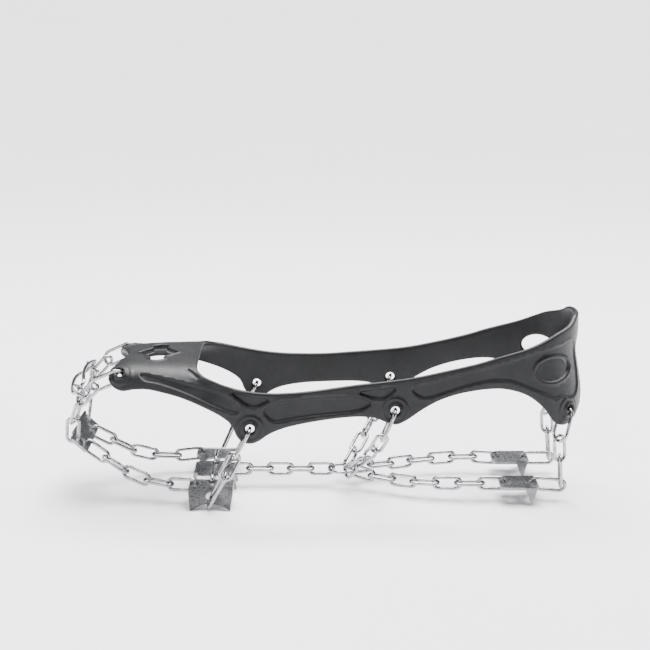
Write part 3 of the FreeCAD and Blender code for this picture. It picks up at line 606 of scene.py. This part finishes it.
def ring_piece(name, solid):
    """A welded ring that stands for a CAD node."""
    middle, ways, (length, _, wire) = spans(solid)
    turns = np.linspace(0, 2 * math.pi, 97)[:-1]
    radius = (length - wire) / 2
    path = radius * np.stack([np.cos(turns), np.sin(turns), 0 * turns], axis=1)
    from_weld = radius * turns
    swell = np.exp(-((from_weld / WELD_HALF - 3) ** 2))
    corners, faces = tube(path, wire / 2 + WELD_BULGE * swell)
    return new_piece(name, corners @ ways + middle, faces)


def new_piece(name, corners, faces):
    mesh = bpy.data.meshes.new(name)
    mesh.from_pydata([tuple(c) for c in corners], [], faces)
    mesh.validate()
    mesh.polygons.foreach_set("use_smooth", [True] * len(mesh.polygons))
    return add(name, mesh)


def add(name, mesh):
    piece = bpy.data.objects.new(name, mesh)
    bpy.context.scene.collection.objects.link(piece)
    return piece


# ---------------------------------------------------------------- materials


class Shader:
    """A Principled material with helpers that add procedural detail on the object's own coordinates."""

    def __init__(self, name):
        self.material = bpy.data.materials.new(name)
        self.material.use_nodes = True
        self.tree = self.material.node_tree
        self.surface = self.tree.nodes["Principled BSDF"]
        self.coordinates = self.tree.nodes.new("ShaderNodeTexCoord").outputs["Object"]

    def set(self, socket, number):
        self.surface.inputs[socket].default_value = number

    def stretched(self, scale):
        """The coordinates scaled by three numbers, for grain that runs one way."""
        node = self.tree.nodes.new("ShaderNodeMapping")
        node.inputs["Scale"].default_value = scale
        self.tree.links.new(self.coordinates, node.inputs["Vector"])
        return node.outputs["Vector"]

    def noise(self, scale, detail=3, vector=None, rough=0.55):
        node = self.tree.nodes.new("ShaderNodeTexNoise")
        node.inputs["Scale"].default_value = scale
        node.inputs["Detail"].default_value = detail
        node.inputs["Roughness"].default_value = rough
        self.tree.links.new(vector or self.coordinates, node.inputs["Vector"])
        return node.outputs["Fac"]

    def spread(self, value, low, high, start=0.3, end=0.7):
        """value from start to end becomes low to high."""
        node = self.tree.nodes.new("ShaderNodeMapRange")
        for socket, number in (("From Min", start), ("From Max", end), ("To Min", low), ("To Max", high)):
            node.inputs[socket].default_value = number
        self.tree.links.new(value, node.inputs["Value"])
        return node.outputs["Result"]

    def mix(self, factor, one, other):
        node = self.tree.nodes.new("ShaderNodeMix")
        node.data_type = "RGBA"
        self.tree.links.new(factor, node.inputs["Factor"])
        for socket, colour in (("A", one), ("B", other)):
            place = next(i for i in node.inputs if i.name == socket and i.type == "RGBA")
            if isinstance(colour, tuple):
                place.default_value = (*colour, 1)
            else:
                self.tree.links.new(colour, place)
        return next(o for o in node.outputs if o.type == "RGBA")

    def into(self, socket, value):
        self.tree.links.new(value, self.surface.inputs[socket])

    def bumps(self, *layers):
        """Stacks (height, distance, strength) layers of bump."""
        normal = None
        for height, far, strength in layers:
            node = self.tree.nodes.new("ShaderNodeBump")
            node.inputs["Distance"].default_value = far
            node.inputs["Strength"].default_value = strength
            self.tree.links.new(height, node.inputs["Height"])
            if normal:
                self.tree.links.new(normal, node.inputs["Normal"])
            normal = node.outputs["Normal"]
        self.into("Normal", normal)


def rubber():
    """Moulded black elastomer: satin, with a fine grain, faint flow marks and a little dust."""
    s = Shader("harness_rubber")
    s.set("Specular IOR Level", 0.26)
    cloudy, fine = s.noise(60, 4), s.noise(420, 3)
    grain, pores = s.noise(3800, 2), s.noise(1500, 3)
    tone = s.mix(s.spread(cloudy, 0, 1), (0.006, 0.0062, 0.0069), (0.011, 0.0114, 0.0126))
    dust = s.spread(s.noise(900, 6, rough=0.7), 0, 0.35, 0.56, 0.8)
    s.into("Base Color", s.mix(dust, tone, (0.04, 0.04, 0.042)))
    s.into("Roughness", s.spread(fine, 0.36, 0.5))
    s.bumps((grain, 0.00003, 0.5), (pores, 0.00008, 0.35), (cloudy, 0.0004, 0.15))
    return s.material


def wire_steel():
    """Tumbled and polished stainless wire, with drawing marks and tiny dents."""
    s = Shader("wire_steel")
    s.set("Metallic", 1.0)
    cloudy, dents = s.noise(300, 3), s.noise(1100, 2)
    scratches = s.noise(2600, 4, s.stretched((1, 1, 0.25)))
    s.into("Base Color", s.mix(s.spread(cloudy, 0, 1), (0.47, 0.47, 0.48), (0.30, 0.30, 0.31)))
    s.into("Roughness", s.spread(scratches, 0.1, 0.26))
    s.bumps((dents, 0.00012, 0.35), (scratches, 0.00002, 0.4))
    return s.material


def sheet_steel():
    """Stamped stainless sheet: satin rolling grain, scuffs and brighter rubbed patches."""
    s = Shader("sheet_steel")
    s.set("Metallic", 1.0)
    rolled = s.noise(900, 4, s.stretched((0.08, 1, 1)))
    scuffs, cloudy = s.noise(700, 6, rough=0.75), s.noise(90, 3)
    s.into("Base Color", s.mix(s.spread(cloudy, 0, 1), (0.34, 0.34, 0.35), (0.2, 0.2, 0.207)))
    s.into("Roughness", s.spread(scuffs, 0.2, 0.4))
    s.bumps((rolled, 0.00004, 0.4), (scuffs, 0.00005, 0.25))
    return s.material


def paper():
    """The pale floor."""
    s = Shader("pale_floor")
    s.set("Specular IOR Level", 0.2)
    s.into("Base Color", s.mix(s.spread(s.noise(3, 2), 0, 1), (0.93, 0.93, 0.94), (0.9, 0.9, 0.915)))
    s.into("Roughness", s.spread(s.noise(40, 3), 0.55, 0.7))
    return s.material


# ---------------------------------------------------------------- the object

RUBBER, WIRE, SHEET = rubber(), wire_steel(), sheet_steel()


def paint(piece, material):
    if not piece.data.materials:
        piece.data.materials.append(material)
    for place in piece.material_slots:
        place.material = material


def stand_for(piece, node, material):
    """piece replaces a CAD node, rides on its body and takes its finish."""
    paint(piece, material)
    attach(piece, node)
    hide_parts(node)


stand_for(add("harness_cover", harness_mesh()), "harness", RUBBER)
for node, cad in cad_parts.items():
    if "chain" in node or "cross_link" in node:
        stand_for(link_piece(f"{node}_wire", islands(cad)), node, WIRE)
    elif "ring" in node:
        stand_for(ring_piece(f"{node}_wire", islands(cad)[0]), node, WIRE)
    elif node == "toe_bail":
        paint(cad, WIRE)
    elif "plate" in node:
        paint(cad, SHEET)
        edges = cad.modifiers.new("worn_edges", "BEVEL")
        edges.width, edges.segments = 0.00028, 3
        edges.limit_method, edges.angle_limit = "ANGLE", math.radians(35)
        edges.harden_normals = True

# ---------------------------------------------------------------- floor, light and camera


def floor():
    half = 30
    corners = [(-half, -half, 0), (half, -half, 0), (half, half, 0), (-half, half, 0)]
    mesh = bpy.data.meshes.new("floor")
    mesh.from_pydata(corners, [], [(0, 1, 2, 3)])
    piece = add("floor", mesh)
    paint(piece, paper())


def soft_box(name, place, aim, size, watts, colour=(1, 1, 1)):
    light = bpy.data.lights.new(name, "AREA")
    light.shape, light.size, light.size_y = "RECTANGLE", *size
    light.energy, light.color = watts, colour
    lamp = add(name, light)
    lamp.location = place
    lamp.rotation_euler = (Vector(aim) - Vector(place)).to_track_quat("-Z", "Y").to_euler()


def surroundings():
    world = bpy.data.worlds.new("studio")
    world.use_nodes = True
    sky = world.node_tree.nodes["Background"]
    sky.inputs["Color"].default_value = (0.9, 0.95, 1.0, 1)
    sky.inputs["Strength"].default_value = 0.12
    bpy.context.scene.world = world


VIEW_HEIGHT = 13
VIEW_DISTANCE = 1.05
VIEW_CENTRE = Vector((0, 0, 0.106))
FIELD = 0.3899


def camera():
    """At the side of the foot, a little above it."""
    lens = bpy.data.cameras.new("camera")
    lens.sensor_width = 36
    lens.lens = lens.sensor_width / FIELD
    eye = add("camera", lens)
    rise = math.radians(VIEW_HEIGHT)
    eye.location = VIEW_CENTRE + VIEW_DISTANCE * Vector((0, -math.cos(rise), math.sin(rise)))
    eye.rotation_euler = (VIEW_CENTRE - eye.location).to_track_quat("-Z", "Y").to_euler()
    bpy.context.scene.camera = eye


def ceiling_light():
    """Even light from above, a little from behind, that keeps the whole floor white."""
    light = bpy.data.lights.new("ceiling", "SUN")
    light.energy, light.angle = 10.5, math.radians(60)
    lamp = add("ceiling", light)
    lamp.rotation_euler = (math.radians(-14), math.radians(8), 0)


floor()
surroundings()
ceiling_light()
soft_box("overhead", (0.05, 0.55, 0.9), (0, 0, 0.08), (1.1, 0.35), 14)
soft_box("front", (-0.7, -1.3, 0.8), (0, 0, 0.06), (0.9, 0.25), 7)
soft_box("toe_side", (-1.1, -0.2, 0.45), (-0.08, 0, 0.06), (0.2, 0.8), 5)
soft_box("heel_side", (1.2, 0.1, 0.6), (0.08, 0, 0.06), (0.2, 0.8), 4)
camera()
